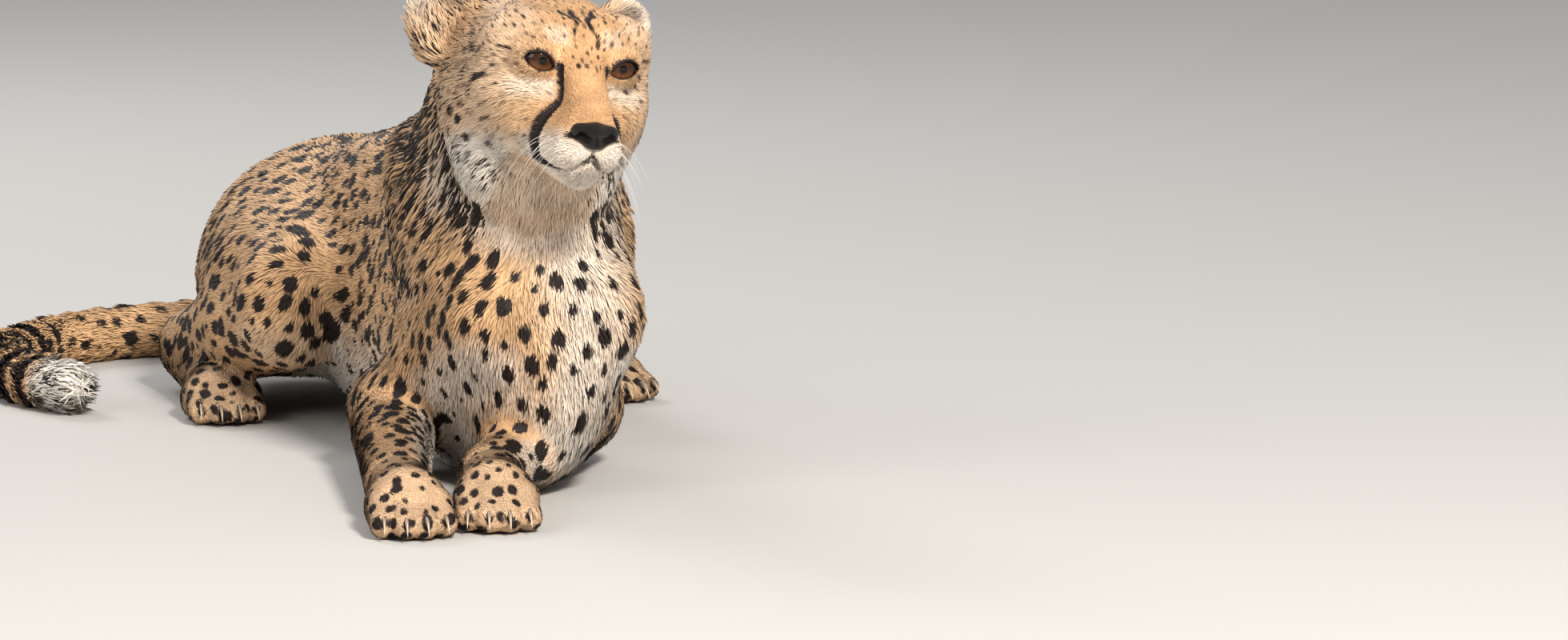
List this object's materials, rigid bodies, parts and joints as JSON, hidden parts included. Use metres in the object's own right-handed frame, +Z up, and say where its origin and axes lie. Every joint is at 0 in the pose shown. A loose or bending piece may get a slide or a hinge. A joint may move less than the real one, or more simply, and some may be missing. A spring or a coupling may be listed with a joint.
{
  "type": "cheetah",
  "caption": "Life-size adult cheetah lying on its breast with the head raised, forelegs laid forward, hind legs folded and tail round the haunch.",
  "frame": {"origin": "middle of the footprint's box on the floor, under the trunk", "axes": "+Z up, the animal faces -Y, its own left side is +X, so the body runs along Y"},
  "size_m": [0.4892, 1.063, 0.3662],
  "materials": {
    "coat": "short dense fur, tawny above and off-white below, with near-black spots",
    "eye": "wet, amber-brown iris with a round pupil",
    "nose_leather": "black, finely pebbled, moist",
    "claw": "smooth horn, pale brown"
  },
  "bodies": {
    "root": {"chest": "coat", "claw_fore_left_1": "claw", "claw_fore_left_2": "claw", "claw_fore_left_3": "claw", "claw_fore_left_4": "claw", "claw_fore_right_1": "claw", "claw_fore_right_2": "claw", "claw_fore_right_3": "claw", "claw_fore_right_4": "claw", "claw_hind_left_1": "claw", "claw_hind_left_2": "claw", "claw_hind_left_3": "claw", "claw_hind_left_4": "claw", "claw_hind_right_1": "claw", "claw_hind_right_2": "claw", "claw_hind_right_3": "claw", "claw_hind_right_4": "claw", "ear_left": "coat", "ear_right": "coat", "eye_left": "eye", "eye_right": "eye", "forearm_left": "coat", "forearm_right": "coat", "head": "coat", "loin": "coat", "neck": "coat", "nose": "nose_leather", "paw_fore_left": "coat", "paw_fore_right": "coat", "paw_hind_left": "coat", "paw_hind_right": "coat", "pelvis": "coat", "shank_left": "coat", "shank_right": "coat", "tail_base": "coat", "tail_middle": "coat", "tail_tip": "coat", "thigh_left": "coat", "thigh_right": "coat", "upper_arm_left": "coat", "upper_arm_right": "coat"}
  },
  "joints": []
}
